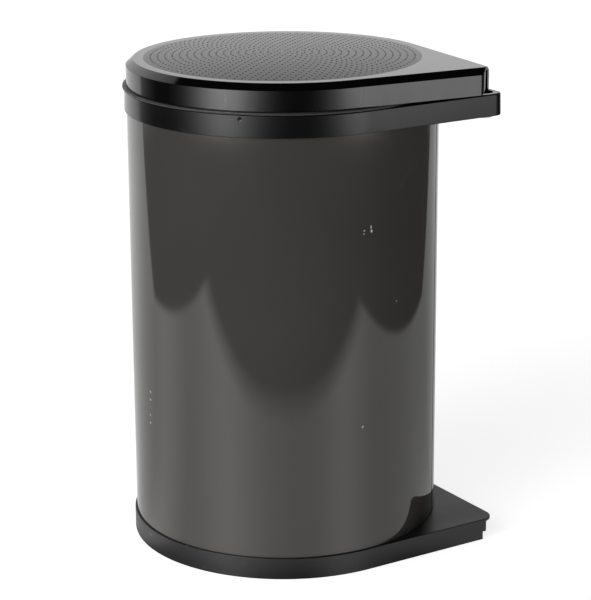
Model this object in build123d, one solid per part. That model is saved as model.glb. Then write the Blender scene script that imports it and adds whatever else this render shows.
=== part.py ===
from build123d import *
import os
from math import atan, degrees, sqrt

# A round kitchen bin that swings out of a cabinet about one square corner.
# Millimetres. The body's upright axis is the Z axis, the floor is z = 0,
# and the square corner points towards +X and -Y.

# rolled steel body
body_r = 125.0  # outside radius
body_seen_h = 338.3  # steel that shows between the base and the collar
sheet_t = 0.8
foot_bend_r = 1.6  # outside radius where the foot turns inwards
foot_flange_w = 13.0
seam_angle = -45.0  # the lap seam faces the square corner
seam_lap_w = 11.0
seam_line_w = 0.6  # fine groove that the outer sheet's edge leaves
seam_line_d = 0.3

# moulded base
base_over = 1.6  # the base stands out this far beyond the body
base_h = 17.7
base_corner_r = 12.4
base_plate_t = 2.2
base_floor_t = 2.2
base_wall = 2.2
seat_depth = 1.5  # how far the body stands below the top of the base
seat_gap = 0.4  # open line round the body
skirt_gap_upper = 9.7  # the door side's skirt stops this far from the square corner
skirt_gap_lower = 13.2  # and this far below its step; so does the wall side's
skirt_step_z = 7.0
rib_t = 1.8
rib_foot_z = 5.0
rib_count = 8
rib_ring_r = 62.0
centre_foot_r = 17.0

# moulded collar
collar_over = 1.8  # the collar stands out this far beyond the body
collar_h = 17.6
collar_corner_r = 9.6
collar_deck_t = 2.6
collar_corner_wall = 3.2
collar_mouth_inset = 7.8  # from the body's outside in to the mouth's edge
collar_fit = 0.1  # gap each side of the steel in its groove
inner_skirt_t = 2.1
inner_skirt_h = 13.0
pocket_start = 45.0  # the hollow of the corner begins this far along each wall

# corner pivot
pivot_inset = 13.4  # from the collar's side walls to the pivot axis
bush_r = 6.5
bush_bore_r = 4.05
bush_flange_r = 9.0
bush_flange_t = 1.6
bush_gap = 0.05  # running clearance round the sleeve
flange_gap = 0.1
boss_wall = 3.0
socket_r = 8.5  # round recess in the top of the collar
socket_depth = 7.6
ring_t = 1.2
ring_edge_gap = 0.5
bush_top_h = 2.0  # sleeve above its ring's seat
blind_cover_t = 0.9  # boss left above the lower bush, under the plate

# screws
screw_count = 4
collar_screw_r = 1.45
collar_screw_head_r = 2.8
collar_screw_head_h = 1.7
collar_screw_z = 7.0  # above the collar's lower edge
collar_screw_skin = 0.6  # collar left outside the screw's tip
base_screw_r = 1.95
base_screw_head_r = 3.4
base_screw_head_h = 2.1
base_screw_l = 8.0
base_screw_inset = 7.4  # from the body's outside in to the screws
base_screw_angle = 22.5
screw_boss_wall = 2.2
recess_w = 0.8  # cross recess
recess_depth = 1.0

# inner bucket
lip_over = 1.3  # the lip stands out this far beyond the collar
lip_t = 2.2
lip_round = 0.9
mouth_gap = 1.7  # between the collar's mouth and the bucket
bucket_taper = 11.5  # the foot's radius is this much less than the top's
bucket_foot_gap = 7.5  # between the base's floor and the bucket
bucket_wall = 1.6
bucket_floor_t = 2.0
bucket_foot_round = 5.0
rest_gap = 0.1  # between the collar, the bucket's lip and the lid

# ears and bail
ear_seat = 1.5  # from the bucket's wall to the inner face of each ear
ear_t = 2.5
ear_w = 12.0
ear_h = 7.6
ear_round = 3.5
wire_r = 1.5
wire_gap = 0.08  # clearance round the wire in an ear
wire_lift = 0.8  # the bail lies this far above the lip
ear_bend_gap = 0.5  # straight wire between an ear and the bend
bail_leg_y = 30.0
bail_grip_inset = 17.5  # from the bucket's wall to the grip's axis
bail_shoulder_gap = 20.0  # from each end of the grip to the shoulder
bail_end_bend = 3.0
bail_leg_bend = 40.0
bail_shoulder_bend = 12.0
wire_head_r = 2.2
wire_head_t = 0.8
wire_head_gap = 0.5
grip_l = 84.0
grip_r = 4.6
grip_gap = 0.1
grip_round = 1.2

# lid
lip_shows = 3.1  # the lip shows this far beyond the lid
lid_h = 20.7
lid_wall = 2.3
lid_bevel_w = 5.7
lid_bevel_h = 4.9
lid_corner_cut = 9.8  # cut off the lid's square corner, along its diagonal
lid_slot_top_w = 6.0
lid_slot_foot_w = 7.0
lid_slot_flare_w = 15.0  # the slot's foot opens out to this width
lid_slot_flare_h = 4.5
lid_panel_inset = 14.0  # flat rim round the crowned panel
lid_crown_h = 3.0  # the panel's middle stands this far above its edge
lid_turn = -6.0  # the loose lid lies a little turned
lid_rib_inset = 25.0
lid_rib_h = 5.0
lug_t = 2.2
lug_l = 18.0
lug_gap = 15.0  # between the two lugs
lug_foot_gap = 2.0  # lugs end this far above the lid's lower edge
pin_r = 2.0
pin_inset = 17.0  # pin axis to the corner's end wall
pin_drop = 11.3  # pin axis below the lid's top
pin_end = 2.4  # pin beyond each lug
clip_r = 4.2
clip_t = 0.8

# places worked out from the sizes above
base_r = body_r + base_over
collar_r = body_r + collar_over
collar_mouth_r = body_r - collar_mouth_inset
base_screw_circle_r = body_r - base_screw_inset
lip_r = collar_r + lip_over
bucket_top_r = collar_mouth_r - mouth_gap
bucket_foot_r = bucket_top_r - bucket_taper
ear_inset_r = bucket_top_r + ear_seat
lid_r = lip_r - lip_shows
lid_cut = lid_r * sqrt(2) - lid_corner_cut
lid_panel_r = lid_r - lid_panel_inset
lid_rib_r = lid_r - lid_rib_inset
crown_ball_r = (lid_panel_r**2 + lid_crown_h**2) / (2 * lid_crown_h)
base_floor_top = base_h - seat_depth
base_floor_z = base_floor_top - base_floor_t
base_plate_z = base_h - base_plate_t
collar_z = base_h + body_seen_h
collar_top = collar_z + collar_h
deck_z = collar_top - collar_deck_t
groove_outer_r = body_r + collar_fit
groove_inner_r = body_r - sheet_t - collar_fit
body_top = deck_z - collar_fit
pivot = collar_r - pivot_inset
boss_r = bush_r + boss_wall
socket_z = collar_top - socket_depth
lip_z = collar_top + rest_gap
lip_top = lip_z + lip_t
bucket_z = base_floor_top + bucket_foot_gap
bucket_depth = lip_z - bucket_z
bail_z = lip_top + wire_lift + wire_r
bail_leg_x = ear_inset_r - ear_bend_gap - bail_end_bend
bail_reach = bucket_top_r - bail_grip_inset
bail_shoulder_x = grip_l / 2 + bail_shoulder_gap
screw_seat_r = sqrt((groove_inner_r - inner_skirt_t) ** 2 - collar_screw_head_r**2)
lid_z = lip_top + rest_gap
lid_top = lid_z + lid_h
lid_under = lid_top - lid_wall
pin_d = lid_cut - pin_inset
pin_z = lid_top - pin_drop


def upright(radius, z_low, z_high, x=0.0, y=0.0):
    """Upright round bar between two heights."""
    return Pos(x, y, z_low) * extrude(Circle(radius), z_high - z_low)


def block(x_low, x_high, y_low, y_high, z_low, z_high):
    """Plain block between its two corners."""
    centre = Pos((x_low + x_high) / 2, (y_low + y_high) / 2, z_low)
    return centre * extrude(Rectangle(x_high - x_low, y_high - y_low), z_high - z_low)


def plan(radius, corner_radius):
    """Round plan with one square corner towards +X and -Y, that corner rounded."""
    c = radius - corner_radius
    lines = [
        CenterArc((0, 0), radius, 0, 270),
        Line((0, -radius), (c, -radius)),
        Line((radius, -c), (radius, 0)),
    ]
    if corner_radius > 0:
        lines.append(CenterArc((c, -c), corner_radius, -90, 90))
    return make_face(lines)


def prism(radius, corner_radius, z_low, z_high):
    """The plan between two heights."""
    return Pos(0, 0, z_low) * extrude(plan(radius, corner_radius), z_high - z_low)


def around(count, start=0.0):
    """Turns about the body's axis for parts that repeat."""
    return [Rot(0, 0, start + 360 / count * i) for i in range(count)]


def towards_corner(shape):
    """Turn a shape that lies along +X to lie along the square corner's diagonal."""
    return Rot(0, 0, -45) * shape


def make_body_shell():
    """Rolled steel tube, its foot turned inwards, with a lap seam."""
    foot = base_floor_top
    outside = fillet(upright(body_r, foot, body_top).edges().sort_by(Axis.Z)[0], foot_bend_r)
    bore = upright(body_r - sheet_t, foot + sheet_t, body_top)
    inside = fillet(bore.edges().sort_by(Axis.Z)[0], foot_bend_r - sheet_t)
    shell = outside - inside - upright(body_r - foot_flange_w, foot, body_top)
    lap = upright(body_r - sheet_t, foot + foot_bend_r, body_top)
    lap -= upright(body_r - 2 * sheet_t, foot, body_top)
    window = block(0, body_r, -seam_lap_w / 2, seam_lap_w / 2, foot, body_top)
    shell += lap & (Rot(0, 0, seam_angle) * window)
    line = block(body_r - seam_line_d, body_r, -seam_line_w / 2, seam_line_w / 2,
                 foot + foot_bend_r, body_top)
    shell -= Rot(0, 0, seam_angle) * line
    for turn in around(screw_count):
        hole = Rot(0, 90, 0) * extrude(Circle(collar_screw_r), body_r)
        shell -= turn * Pos(0, 0, collar_z + collar_screw_z) * hole
    for turn in around(screw_count, base_screw_angle):
        shell -= turn * upright(base_screw_r, foot, foot + sheet_t, base_screw_circle_r)
    return shell


def make_base_tray():
    """Moulded base: skirt, plate, sunk floor, ribs and the corner's blind boss."""
    inner_corner = base_corner_r - base_wall
    tray = prism(base_r, base_corner_r, 0, base_h)
    tray -= prism(base_r - base_wall, inner_corner, 0, base_h)
    upper = base_r - skirt_gap_upper
    lower = base_r - skirt_gap_lower
    tray -= block(upper, base_r, -base_r, -lower, 0, base_h)
    tray -= block(lower, base_r, -base_r, -lower, 0, skirt_step_z)
    tray += prism(base_r, base_corner_r, base_plate_z, base_h)
    tray += upright(base_r, base_floor_z, base_floor_top)
    tray -= upright(body_r + seat_gap, base_floor_top, base_h)
    rib_end = base_r - base_wall / 2
    ribs = [turn * block(0, rib_end, -rib_t / 2, rib_t / 2, rib_foot_z, base_floor_z)
            for turn in around(rib_count)]
    ring = upright(rib_ring_r, rib_foot_z, base_floor_z)
    ring -= upright(rib_ring_r - rib_t, rib_foot_z, base_floor_z)
    tray += ribs + [ring]
    tray += towards_corner(block(0, pivot * sqrt(2), -rib_t / 2, rib_t / 2,
                                 skirt_step_z, base_plate_z))
    tray += upright(boss_r, skirt_step_z, base_plate_z, pivot, -pivot)
    brace_l = (rib_end - pivot) * sqrt(2)
    for brace_angle in (0, 180):
        brace = block(0, brace_l, -rib_t / 2, rib_t / 2, skirt_step_z, base_plate_z)
        side = Rot(0, 0, 45 + brace_angle)
        tray += Pos(pivot, -pivot, 0) * side * brace
    tray -= upright(bush_r + bush_gap, 0, base_plate_z - blind_cover_t, pivot, -pivot)
    for turn in around(screw_count, base_screw_angle):
        boss_low = base_floor_top + sheet_t - base_screw_l - screw_boss_wall
        tray += turn * upright(base_screw_r + screw_boss_wall, boss_low, base_floor_z,
                               base_screw_circle_r)
        tray -= turn * upright(base_screw_r, boss_low + screw_boss_wall, base_floor_top,
                               base_screw_circle_r)
    tray += upright(centre_foot_r, 0, base_floor_z)
    tray -= upright(centre_foot_r - base_wall, base_wall, base_floor_top)
    return tray


def make_top_collar():
    """Moulded collar: outer wall, deck, groove for the steel and the corner's socket."""
    collar = prism(collar_r, collar_corner_r, collar_z, collar_top)
    collar -= upright(groove_outer_r, collar_z, deck_z)
    inner_r = collar_r - collar_corner_wall
    pocket = prism(inner_r, collar_corner_r - collar_corner_wall, collar_z, deck_z)
    pocket &= block(pocket_start, collar_r, -collar_r, -pocket_start, collar_z, deck_z)
    collar -= pocket - upright(collar_r, collar_z, deck_z)
    collar -= upright(collar_mouth_r, deck_z, collar_top)
    skirt = upright(groove_inner_r, deck_z - inner_skirt_h, deck_z)
    skirt -= upright(groove_inner_r - inner_skirt_t, deck_z - inner_skirt_h, deck_z)
    notch_w = seam_lap_w + 2 * inner_skirt_t
    notch = block(0, body_r, -notch_w / 2, notch_w / 2, collar_z, deck_z)
    collar += skirt - Rot(0, 0, seam_angle) * notch
    collar += upright(socket_r + boss_wall, collar_z, deck_z, pivot, -pivot)
    rib_low = collar_z + base_wall
    collar += towards_corner(block(collar_r - collar_fit, pivot * sqrt(2), -rib_t / 2,
                                   rib_t / 2, rib_low, deck_z))
    rib_x = pivot - 2 * pivot_inset
    wall_y = sqrt(collar_r**2 - rib_x**2)
    rib = block(rib_x, rib_x + rib_t, -inner_r, -wall_y + rib_t, rib_low, deck_z)
    collar += rib + mirror(rib, about=Plane.XZ.rotated((0, 0, -45)))
    collar -= upright(bush_r + bush_gap, collar_z, collar_top, pivot, -pivot)
    collar -= upright(socket_r, socket_z, collar_top, pivot, -pivot)
    for turn in around(screw_count):
        hole = Rot(0, 90, 0) * extrude(Circle(collar_screw_r), collar_r - collar_screw_skin)
        collar -= turn * Pos(0, 0, collar_z + collar_screw_z) * hole
    return collar


def make_bush(flange_top, top):
    """Flanged plastic sleeve on the pivot axis."""
    foot = flange_top - bush_flange_t
    bush = upright(bush_flange_r, foot, flange_top, pivot, -pivot)
    bush += upright(bush_r, foot, top, pivot, -pivot)
    return bush - upright(bush_bore_r, foot, top, pivot, -pivot)


def make_bush_ring():
    """Push-on ring that sits in the collar's socket, tight on the sleeve."""
    low = socket_z + flange_gap
    ring = upright(socket_r - ring_edge_gap, low, low + ring_t, pivot, -pivot)
    return ring - upright(bush_r, low, low + ring_t, pivot, -pivot)


def make_screw(shank_r, shank_l, head_r, head_h):
    """Pan-head screw that points down, with the head's seat at the origin."""
    head = upright(head_r, 0, head_h)
    head = fillet(head.edges().sort_by(Axis.Z)[-1], head_h / 2)
    screw = head + upright(shank_r, -shank_l, 0)
    for cross in (0, 90):
        slot = block(-head_r * 0.6, head_r * 0.6, -recess_w / 2, recess_w / 2,
                     head_h - recess_depth, head_h)
        screw -= Rot(0, 0, cross) * slot
    return screw


def make_collar_screws():
    """Screws through the inner skirt and the steel into the collar's outer wall."""
    length = collar_r - collar_screw_skin - screw_seat_r
    screw = make_screw(collar_screw_r, length, collar_screw_head_r, collar_screw_head_h)
    placed = Pos(screw_seat_r, 0, collar_z + collar_screw_z) * Rot(0, -90, 0) * screw
    return Compound(children=[turn * placed for turn in around(screw_count)])


def make_base_screws():
    """Screws through the body's in-turned foot into the base."""
    screw = make_screw(base_screw_r, base_screw_l, base_screw_head_r, base_screw_head_h)
    placed = Pos(base_screw_circle_r, 0, base_floor_top + sheet_t) * screw
    return Compound(children=[turn * placed for turn in around(screw_count, base_screw_angle)])


def make_inner_bucket():
    """Tapered bucket with a round lip that lies on the collar, and two bail ears."""
    cone_place = Pos(0, 0, bucket_z + bucket_depth / 2)
    outside = cone_place * Cone(bucket_foot_r, bucket_top_r, bucket_depth)
    outside = fillet(outside.edges().sort_by(Axis.Z)[0], bucket_foot_round)
    inside = cone_place * Cone(bucket_foot_r - bucket_wall, bucket_top_r - bucket_wall,
                               bucket_depth)
    inside -= upright(body_r, bucket_z, bucket_z + bucket_floor_t)
    inside = fillet(inside.edges().sort_by(Axis.Z)[0], bucket_foot_round - bucket_wall)
    mouth_r = bucket_top_r - bucket_wall
    lip = upright(lip_r, lip_z, lip_top)
    lip = fillet(lip.edges(), lip_round)
    bucket = outside - inside + (lip - upright(mouth_r, lip_z, lip_top))
    ear = block(ear_inset_r, ear_inset_r + ear_t, -ear_w / 2, ear_w / 2, lip_z + lip_t / 2,
                lip_top + ear_h)
    ear = fillet(ear.edges().filter_by(Axis.X).sort_by(Axis.Z)[-2:], ear_round)
    hole = Pos(0, 0, bail_z) * Rot(0, 90, 0) * extrude(Circle(wire_r + wire_gap), body_r)
    for turn in around(2):
        bucket += turn * (ear - hole)
    return bucket


def make_bucket_bail():
    """Wire handle: two hooked ends in the ears, two legs and a straight grip length."""
    ear_out = ear_inset_r + ear_t
    tip = ear_out + wire_head_gap
    half = [(tip, 0), (bail_leg_x, 0), (bail_leg_x, bail_leg_y), (bail_shoulder_x, bail_reach)]
    points = half + [(-x, y) for x, y in reversed(half)]
    bends = [bail_end_bend, bail_leg_bend, bail_shoulder_bend]
    path = FilletPolyline(*points, radius=bends + bends[::-1])
    start = Plane(origin=(tip, 0, 0), z_dir=(-1, 0, 0))
    bail = Pos(0, 0, bail_z) * sweep(start * Circle(wire_r), path=path)
    head = Pos(tip, 0, bail_z) * Rot(0, 90, 0) * extrude(Circle(wire_head_r), wire_head_t)
    for turn in around(2):
        bail += turn * head
    return bail


def make_bail_grip():
    """Plastic tube that turns on the bail's straight length."""
    grip = extrude(Circle(grip_r), grip_l)
    grip = fillet(grip.edges(), grip_round)
    grip -= extrude(Circle(wire_r + grip_gap), grip_l)
    return Pos(-grip_l / 2, bail_reach, bail_z) * Rot(0, 90, 0) * grip


def lid_form(radius, cut, top):
    """Solid form of the lid up to a height, with the bevel round its edge."""
    side_top = top - lid_bevel_h
    slope = degrees(atan(lid_bevel_w / lid_bevel_h))
    form = prism(radius, 0, lid_z, side_top)
    form += Pos(0, 0, side_top) * extrude(plan(radius, 0), lid_bevel_h, taper=slope)
    return form - towards_corner(block(cut, 2 * cut, -cut, cut, 0, lid_top))


def crown(level):
    """Shallow round cap that stands on a level, as wide as the lid's panel."""
    ball = Pos(0, 0, level + lid_crown_h - crown_ball_r) * Sphere(crown_ball_r)
    return ball & upright(lid_panel_r, level, level + 2 * lid_crown_h)


def make_lid_shell():
    """Lid: bevelled cover with a crowned panel, a slotted corner wall, lugs and a rib."""
    lid = lid_form(lid_r, lid_cut, lid_top)
    lid -= lid_form(lid_r - lid_wall, lid_cut - lid_wall, lid_under)
    lid += crown(lid_top)
    lid -= crown(lid_under)
    rib = upright(lid_rib_r, lid_under - lid_rib_h, lid_top)
    lid += rib - upright(lid_rib_r - rib_t, lid_under - lid_rib_h, lid_top)
    slot_half = [
        (lid_slot_flare_w / 2, lid_z),
        (lid_slot_foot_w / 2, lid_z + lid_slot_flare_h),
        (lid_slot_top_w / 2, lid_under),
    ]
    slot_points = slot_half + [(-y, z) for y, z in reversed(slot_half)]
    slot_face = Plane.YZ * make_face(Polyline(*slot_points, close=True))
    slot = Pos(lid_cut - 2 * lid_wall, 0, 0) * extrude(slot_face, 3 * lid_wall)
    lid -= towards_corner(slot)
    pin_hole = Pos(pin_d, 0, pin_z) * Rot(90, 0, 0) * Cylinder(pin_r, lug_gap + 4 * lug_t)
    for side in (-1, 1):
        middle = side * (lug_gap + lug_t) / 2
        lug = block(pin_d - lug_l / 2, pin_d + lug_l / 2, middle - lug_t / 2,
                    middle + lug_t / 2, lid_z + lug_foot_gap, lid_under)
        lid += towards_corner(lug - pin_hole)
    return Rot(0, 0, lid_turn) * lid


def make_lid_hinge_pin():
    """Steel cross pin through the two lugs."""
    length = lug_gap + 2 * lug_t + 2 * pin_end
    pin = Pos(pin_d, 0, pin_z) * Rot(90, 0, 0) * Cylinder(pin_r, length)
    return Rot(0, 0, lid_turn) * towards_corner(pin)


def make_lid_pin_clips():
    """Push-on clips outside the lugs."""
    clips = []
    for side in (-1, 1):
        middle = side * (lug_gap / 2 + lug_t + clip_t / 2)
        clip = Cylinder(clip_r, clip_t) - Cylinder(pin_r, clip_t)
        placed = Pos(pin_d, middle, pin_z) * Rot(90, 0, 0) * clip
        clips.append(Rot(0, 0, lid_turn) * towards_corner(placed))
    return Compound(children=clips)


upper_flange_top = collar_z - flange_gap
lower_flange_top = skirt_step_z - flange_gap
lower_bush_top = base_plate_z - blind_cover_t - flange_gap
nodes = {
    "body_shell": make_body_shell(),
    "base_tray": make_base_tray(),
    "top_collar": make_top_collar(),
    "upper_pivot_bush": make_bush(upper_flange_top, socket_z + bush_top_h),
    "lower_pivot_bush": make_bush(lower_flange_top, lower_bush_top),
    "upper_bush_ring": make_bush_ring(),
    "collar_screws": make_collar_screws(),
    "base_screws": make_base_screws(),
    "inner_bucket": make_inner_bucket(),
    "bucket_bail": make_bucket_bail(),
    "bail_grip": make_bail_grip(),
    "lid_shell": make_lid_shell(),
    "lid_hinge_pin": make_lid_hinge_pin(),
    "lid_pin_clips": make_lid_pin_clips(),
}
for name, shape in nodes.items():
    export_step(shape, f"parts/{name}.step")
    print(name, round(shape.volume), shape.is_valid)
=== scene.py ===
import math

import bmesh
import bpy
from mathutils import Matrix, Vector


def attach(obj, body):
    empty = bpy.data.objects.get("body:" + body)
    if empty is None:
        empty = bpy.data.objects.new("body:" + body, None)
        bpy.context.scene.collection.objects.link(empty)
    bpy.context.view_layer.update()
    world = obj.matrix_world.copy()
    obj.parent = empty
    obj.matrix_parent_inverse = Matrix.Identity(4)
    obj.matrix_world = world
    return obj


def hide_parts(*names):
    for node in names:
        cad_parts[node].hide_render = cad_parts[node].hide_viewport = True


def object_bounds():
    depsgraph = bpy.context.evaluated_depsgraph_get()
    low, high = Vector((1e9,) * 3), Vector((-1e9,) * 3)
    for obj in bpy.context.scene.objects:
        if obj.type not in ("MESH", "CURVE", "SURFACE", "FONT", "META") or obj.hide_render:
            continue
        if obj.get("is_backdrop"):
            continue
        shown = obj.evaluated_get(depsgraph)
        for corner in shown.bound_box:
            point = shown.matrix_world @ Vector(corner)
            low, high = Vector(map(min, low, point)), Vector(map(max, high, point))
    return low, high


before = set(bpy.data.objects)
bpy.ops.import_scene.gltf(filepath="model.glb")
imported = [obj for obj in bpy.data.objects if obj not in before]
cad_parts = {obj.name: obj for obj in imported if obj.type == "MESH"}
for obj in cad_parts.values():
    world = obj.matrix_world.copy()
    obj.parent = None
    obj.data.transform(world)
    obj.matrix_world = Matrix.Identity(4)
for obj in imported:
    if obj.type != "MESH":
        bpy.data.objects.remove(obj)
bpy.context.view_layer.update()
bpy.ops.object.select_all(action="DESELECT")

# Base tray. One black moulding that the steel body stands in: a round plate with one square corner,
# a skirt that stops in a step before that corner, ribs underneath, and a hollow foot in the middle.
MM = 0.001
TAU = 2 * math.pi


def close(value, target, margin=0.05):
    """Whether a measured length in millimetres is the one that is meant."""
    return abs(value - target) < margin


def pick(piece, kind, test):
    """Open a piece with only the points, edges or faces selected whose place in mm passes a test."""
    if bpy.context.mode != "OBJECT":
        bpy.ops.object.mode_set(mode="OBJECT")
    bpy.ops.object.select_all(action="DESELECT")
    bpy.context.view_layer.objects.active = piece
    piece.select_set(True)
    bpy.ops.object.mode_set(mode="EDIT")
    bpy.ops.mesh.select_mode(type=kind)
    bpy.ops.mesh.select_all(action="DESELECT")
    mesh = bmesh.from_edit_mesh(piece.data)
    items = {"VERT": mesh.verts, "EDGE": mesh.edges, "FACE": mesh.faces}[kind]
    for item in items:
        if kind == "VERT":
            points = [item.co]
        else:
            points = [v.co for v in item.verts]
        places = [(p.x / MM, p.y / MM, p.z / MM) for p in points]
        if all(test(*place) for place in places):
            item.select_set(True)
    mesh.select_flush_mode()
    bmesh.update_edit_mesh(piece.data)


def done():
    """Leave edit mode with nothing selected."""
    if bpy.context.mode != "OBJECT":
        bpy.ops.object.mode_set(mode="OBJECT")
    bpy.ops.object.select_all(action="DESELECT")


def settle(piece):
    """Put a piece's place and turn into its mesh."""
    done()
    bpy.context.view_layer.objects.active = piece
    piece.select_set(True)
    bpy.ops.object.transform_apply(location=True, rotation=True, scale=True)
    done()
    return piece


def bar(radius, low, high, x=0.0, y=0.0, sides=192):
    """Upright round bar between two heights."""
    done()
    bpy.ops.mesh.primitive_cylinder_add(vertices=sides, radius=radius * MM, depth=(high - low) * MM,
                                        location=(x * MM, y * MM, (low + high) / 2 * MM))
    return settle(bpy.context.object)


def block(x_low, x_high, y_low, y_high, z_low, z_high):
    """Plain block between two corners."""
    done()
    middle = ((x_low + x_high) / 2 * MM, (y_low + y_high) / 2 * MM, (z_low + z_high) / 2 * MM)
    bpy.ops.mesh.primitive_cube_add(size=1, location=middle)
    piece = bpy.context.object
    piece.scale = ((x_high - x_low) * MM, (y_high - y_low) * MM, (z_high - z_low) * MM)
    return settle(piece)


def cornered(radius, corner_radius, low, high):
    """Upright bar, round but for one square corner towards +X and -Y, which may be rounded."""
    done()
    bpy.ops.mesh.primitive_circle_add(vertices=192, radius=radius * MM, fill_type="NOTHING",
                                      location=(0, 0, low * MM))
    piece = settle(bpy.context.object)
    pick(piece, "VERT", lambda x, y, z: x > 0.1 and y < -0.1)
    bpy.ops.mesh.delete(type="VERT")
    pick(piece, "VERT", lambda x, y, z: close(x, 0) and y < 0)
    side = (radius - corner_radius) * MM
    bpy.ops.mesh.extrude_region_move(TRANSFORM_OT_translate={"value": (side, 0, 0)})
    if corner_radius > 0:
        bpy.ops.mesh.spin(steps=10, angle=-TAU / 4, center=(side, -side, low * MM), axis=(0, 0, 1))
    bpy.ops.mesh.extrude_region_move(TRANSFORM_OT_translate={"value": (0, side, 0)})
    bpy.ops.mesh.select_all(action="SELECT")
    bpy.ops.mesh.remove_doubles(threshold=1e-6)
    bpy.ops.mesh.edge_face_add()
    bpy.ops.mesh.extrude_region_move(TRANSFORM_OT_translate={"value": (0, 0, (high - low) * MM)})
    bpy.ops.mesh.select_all(action="SELECT")
    bpy.ops.mesh.normals_make_consistent(inside=False)
    done()
    return piece


def apply(piece, kind, **settings):
    """Give a piece one modifier and make it part of the mesh."""
    done()
    bpy.context.view_layer.objects.active = piece
    modifier = piece.modifiers.new(kind.lower(), kind)
    for name, value in settings.items():
        setattr(modifier, name, value)
    bpy.ops.object.modifier_apply(modifier=modifier.name)


def cut(piece, *tools):
    """Take each tool's solid out of a piece."""
    for tool in tools:
        apply(piece, "BOOLEAN", operation="DIFFERENCE", object=tool, solver="EXACT")
        bpy.data.objects.remove(tool)


def join(piece, *others):
    """Make a piece and the solids that touch it one solid."""
    for other in others:
        apply(piece, "BOOLEAN", operation="UNION", object=other, solver="EXACT")
        bpy.data.objects.remove(other)


def at_point(radius, height, margin=0.05):
    """Test for a ring of points at a radius from Z and a height."""
    return lambda x, y, z: close(math.hypot(x, y), radius, margin) and close(z, height)


def round_edges(piece, width, steps, test):
    """Round the edges whose two ends pass a test."""
    pick(piece, "EDGE", test)
    bpy.ops.mesh.bevel(offset=width * MM, segments=steps, affect="EDGES", clamp_overlap=True)
    done()


def turn(piece, angle, axis=(0, 0, 1)):
    """Turn a piece about an axis through the origin, in degrees."""
    piece.rotation_euler = tuple(math.radians(angle) * a for a in axis)
    return settle(piece)


def smooth(piece, angle=32):
    """Shade a piece smooth, but for its sharp edges."""
    done()
    bpy.context.view_layer.objects.active = piece
    piece.select_set(True)
    bpy.ops.object.shade_smooth_by_angle(angle=math.radians(angle))
    apply(piece, "WEIGHTED_NORMAL", keep_sharp=True, weight=60)
    done()


base_r, base_h, base_corner_r, base_wall = 126.6, 17.7, 12.4, 2.2
plate_z, floor_top, floor_z, seat_r = 15.5, 16.2, 14.0, 125.4
skirt_end, step_end, step_z = 113.4, 116.9, 7.0
rib_half, rib_foot_z, rib_ring_r, centre_foot_r = 0.9, 5.0, 62.0, 17.0
rib_reach, brace_reach, corner_rib_start = 125.5, 17.1, 121
sunk = 0.5  # how far a rib or boss runs into its plate
pivot, lower_boss_r, bush_hole_r, blind_z = 113.4, 9.5, 6.55, 14.6
foot_screw_circle, foot_boss_r, foot_boss_low = 117.6, 4.15, 6.8
foot_screw_angles = (22.5, 112.5, 202.5, 292.5)
base_tray = cornered(base_r, base_corner_r, 0, base_h)
base_tray.name = "base_tray_moulding"
round_edges(base_tray, 0.6, 3, lambda x, y, z: close(z, base_h))
round_edges(base_tray, 0.5, 2, lambda x, y, z: close(z, 0))
cut(base_tray, cornered(base_r - base_wall, base_corner_r - base_wall, -1, floor_z))
corner_hollow = cornered(base_r - base_wall, base_corner_r - base_wall, floor_z - 1, plate_z)
cut(corner_hollow, bar(base_r, floor_z - 2, plate_z + 1))
cut(base_tray, corner_hollow, bar(seat_r, floor_top, base_h + 1))
cut(base_tray, block(step_end, 130, -130, -skirt_end, -1, plate_z),
    block(skirt_end, 130, -130, -skirt_end, -1, step_z))
for angle in (0, 45, 90, 135):
    rib = block(-rib_reach, rib_reach, -rib_half, rib_half, rib_foot_z, floor_z + sunk)
    join(base_tray, turn(rib, angle))
rib_ring = bar(rib_ring_r, rib_foot_z, floor_z + sunk, sides=96)
cut(rib_ring, bar(rib_ring_r - 2 * rib_half, rib_foot_z - 1, floor_z + 1, sides=96))
corner_rib = block(corner_rib_start, pivot * math.sqrt(2), -rib_half, rib_half, step_z, plate_z + sunk)
corner_brace = turn(block(-brace_reach, brace_reach, -rib_half, rib_half, step_z, plate_z + sunk), 45)
corner_brace.location = (pivot * MM, -pivot * MM, 0)
join(base_tray, rib_ring, turn(corner_rib, -45), settle(corner_brace),
     bar(lower_boss_r, step_z, plate_z + sunk, pivot, -pivot, 48))
for angle in foot_screw_angles:
    boss = bar(foot_boss_r, foot_boss_low, floor_z + sunk, foot_screw_circle, 0, 24)
    join(base_tray, turn(boss, angle))
join(base_tray, bar(centre_foot_r, 0, floor_z + sunk, sides=64))
cut(base_tray, bar(centre_foot_r - base_wall, base_wall, floor_top + 1, sides=64),
    bar(bush_hole_r, -1, blind_z, pivot, -pivot, 48))
smooth(base_tray)


def noise(tree, coordinates, scale, detail=4.0, distortion=0.0):
    """Noise in an object's own metres; the scale is in blots a metre."""
    node = tree.nodes.new("ShaderNodeTexNoise")
    node.inputs["Scale"].default_value = scale
    node.inputs["Detail"].default_value = detail
    node.inputs["Distortion"].default_value = distortion
    tree.links.new(coordinates, node.inputs["Vector"])
    return node.outputs["Fac"]


def stretched(tree, coordinates, scale):
    """Coordinates drawn out by a different amount along each axis."""
    node = tree.nodes.new("ShaderNodeMapping")
    node.inputs["Scale"].default_value = scale
    tree.links.new(coordinates, node.inputs["Vector"])
    return node.outputs["Vector"]


def span(tree, value, low, high, to_low, to_high):
    """Change a value's range, with its ends held."""
    node = tree.nodes.new("ShaderNodeMapRange")
    node.inputs["From Min"].default_value = low
    node.inputs["From Max"].default_value = high
    node.inputs["To Min"].default_value = to_low
    node.inputs["To Max"].default_value = to_high
    tree.links.new(value, node.inputs["Value"])
    return node.outputs["Result"]


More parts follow.
